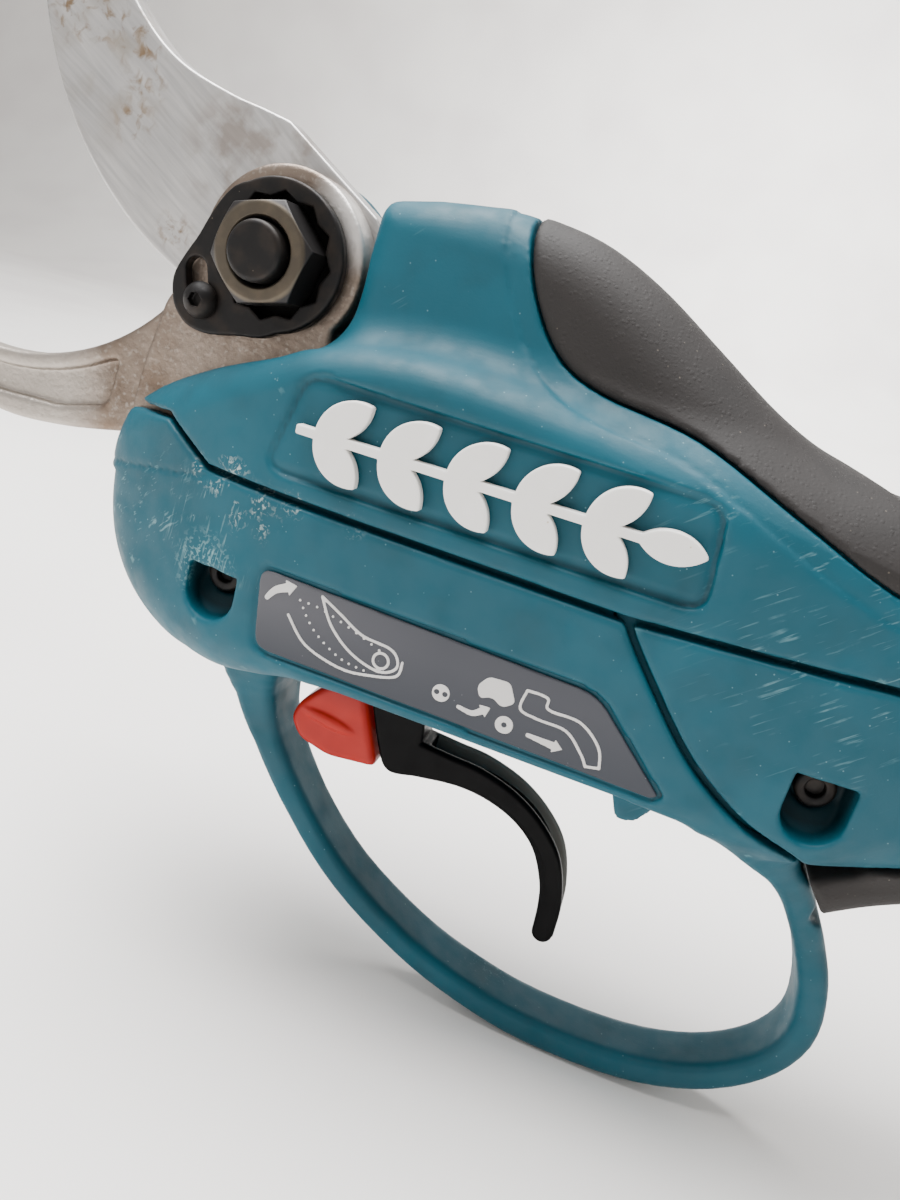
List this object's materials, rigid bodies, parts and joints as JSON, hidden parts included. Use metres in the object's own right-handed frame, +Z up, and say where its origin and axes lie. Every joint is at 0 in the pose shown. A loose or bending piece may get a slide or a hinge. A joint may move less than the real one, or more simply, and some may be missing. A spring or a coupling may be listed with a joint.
{
  "type": "battery electric pruner",
  "caption": "Hand-held electric pruning shears with a hooked lower blade, a powered upper blade, a finger trigger in a loop guard and a slim handle with rubber grips.",
  "frame": {"origin": "centre of the whole tool's bounding box, blades open", "axes": "+X from the blades to the handle's cord end, +Y to the tool's right side, +Z up with the trigger guard below"},
  "size_m": [0.304, 0.051, 0.1692],
  "materials": {
    "teal": "moulded plastic, fine grain, scuffed",
    "rubber": "soft-touch overmould, fine grain",
    "white": "raised trim",
    "label": "printed label under clear film",
    "red": "moulded plastic",
    "black_plastic": "moulded plastic, glossy",
    "blade_steel": "ground tool steel with sap stains",
    "cast_steel": "cast steel, worn bright at the edges",
    "black_oxide": "black oxide",
    "gear_steel": "machined steel",
    "bronze": "sintered bronze",
    "alloy": "die-cast alloy",
    "board": "fibreglass board with components",
    "wire_red": "wire insulation",
    "wire_black": "wire insulation"
  },
  "bodies": {
    "body": {"upper_housing_left": "teal", "upper_housing_right": "teal", "lower_housing_left": "teal", "lower_housing_right": "teal", "guard_shell": "teal", "top_grip": "rubber", "lower_grip": "rubber", "emblem": "white", "function_label": "label", "cable_gland": "rubber", "housing_screw_front": "black_oxide", "housing_screw_middle": "black_oxide", "housing_screw_rear": "black_oxide", "housing_screw_top": "black_oxide", "lower_blade": "cast_steel", "pivot_bolt": "black_oxide", "pivot_nut": "black_oxide", "lock_plate": "black_oxide", "lock_screw": "black_oxide", "pivot_bush": "bronze", "thrust_washer": "bronze", "blade_screw_1": "black_oxide", "blade_screw_2": "black_oxide", "gear_case": "alloy", "pinion_bearing_front": "gear_steel", "pinion_bearing_rear": "gear_steel", "ring_gear": "gear_steel", "motor_plate": "alloy", "motor_can": "black_oxide", "motor_cap": "black_plastic", "controller_board": "board", "motor_lead_left": "wire_red", "motor_lead_right": "wire_black", "trigger_pin": "gear_steel", "trigger_spring": "gear_steel", "trigger_switch": "black_plastic"},
    "blade": {"upper_blade": "blade_steel", "blade_gear": "gear_steel"},
    "output_shaft": {"bevel_pinion": "gear_steel", "planet_carrier": "gear_steel"},
    "planet_1": {"planet_gear_1": "gear_steel"},
    "planet_2": {"planet_gear_2": "gear_steel"},
    "planet_3": {"planet_gear_3": "gear_steel"},
    "rotor": {"sun_gear": "gear_steel", "motor_rotor": "gear_steel"},
    "trigger": {"trigger": "black_plastic", "lever_pin": "gear_steel"},
    "lever": {"lock_lever": "red"},
    "plunger": {"switch_plunger": "white"}
  },
  "joints": [
    {"name": "blade_pivot", "type": "hinge", "parent": "body", "child": "blade", "pos_m": [-0.084, 0.0005, 0.02854], "axis": [0, -1, 0], "range_deg": [0, 62]},
    {"name": "gearbox_output", "type": "hinge", "parent": "body", "child": "output_shaft", "pos_m": [-0.06477, 0.0037, 0.02303], "axis": [0.9613, 0, -0.2756], "range_deg": [-190, 4]},
    {"name": "motor_spin", "type": "hinge", "parent": "body", "child": "rotor", "pos_m": [-0.02632, 0.0037, 0.012], "axis": [0.9613, 0, -0.2756], "range_deg": [-940, 10]},
    {"name": "planet_1_spin", "type": "hinge", "parent": "output_shaft", "child": "planet_1", "pos_m": [-0.0369, 0.01, 0.01504], "axis": [0.9613, 0, -0.2756], "range_deg": [-5, 502]},
    {"name": "planet_2_spin", "type": "hinge", "parent": "output_shaft", "child": "planet_2", "pos_m": [-0.03539, 0.00055, 0.02028], "axis": [0.9613, 0, -0.2756], "range_deg": [-5, 502]},
    {"name": "planet_3_spin", "type": "hinge", "parent": "output_shaft", "child": "planet_3", "pos_m": [-0.0384, 0.00055, 0.00979], "axis": [0.9613, 0, -0.2756], "range_deg": [-5, 502]},
    {"name": "trigger_pull", "type": "hinge", "parent": "body", "child": "trigger", "pos_m": [-0.053, 0.0005, -0.02046], "axis": [0, -1, 0], "range_deg": [0, 16], "stiffness_Nm_per_rad": 0.3, "springref_deg": -2.86},
    {"name": "lock_lever_lift", "type": "hinge", "parent": "trigger", "child": "lever", "pos_m": [-0.053, 0.0005, -0.02946], "axis": [0, 1, 0], "range_deg": [0, 10], "stiffness_Nm_per_rad": 0.05, "springref_deg": -2.86},
    {"name": "switch_travel", "type": "slide", "parent": "body", "child": "plunger", "axis": [-1, 0, 0], "range_m": [0, 0.0016]}
  ],
  "couplings": [
    {"joint": "gearbox_output", "follows": "blade_pivot", "ratio": -3},
    {"joint": "motor_spin", "follows": "blade_pivot", "ratio": -15},
    {"joint": "planet_1_spin", "follows": "blade_pivot", "ratio": 8},
    {"joint": "planet_2_spin", "follows": "blade_pivot", "ratio": 8},
    {"joint": "planet_3_spin", "follows": "blade_pivot", "ratio": 8},
    {"joint": "switch_travel", "follows": "trigger_pull", "m_per_rad": 0.005}
  ]
}
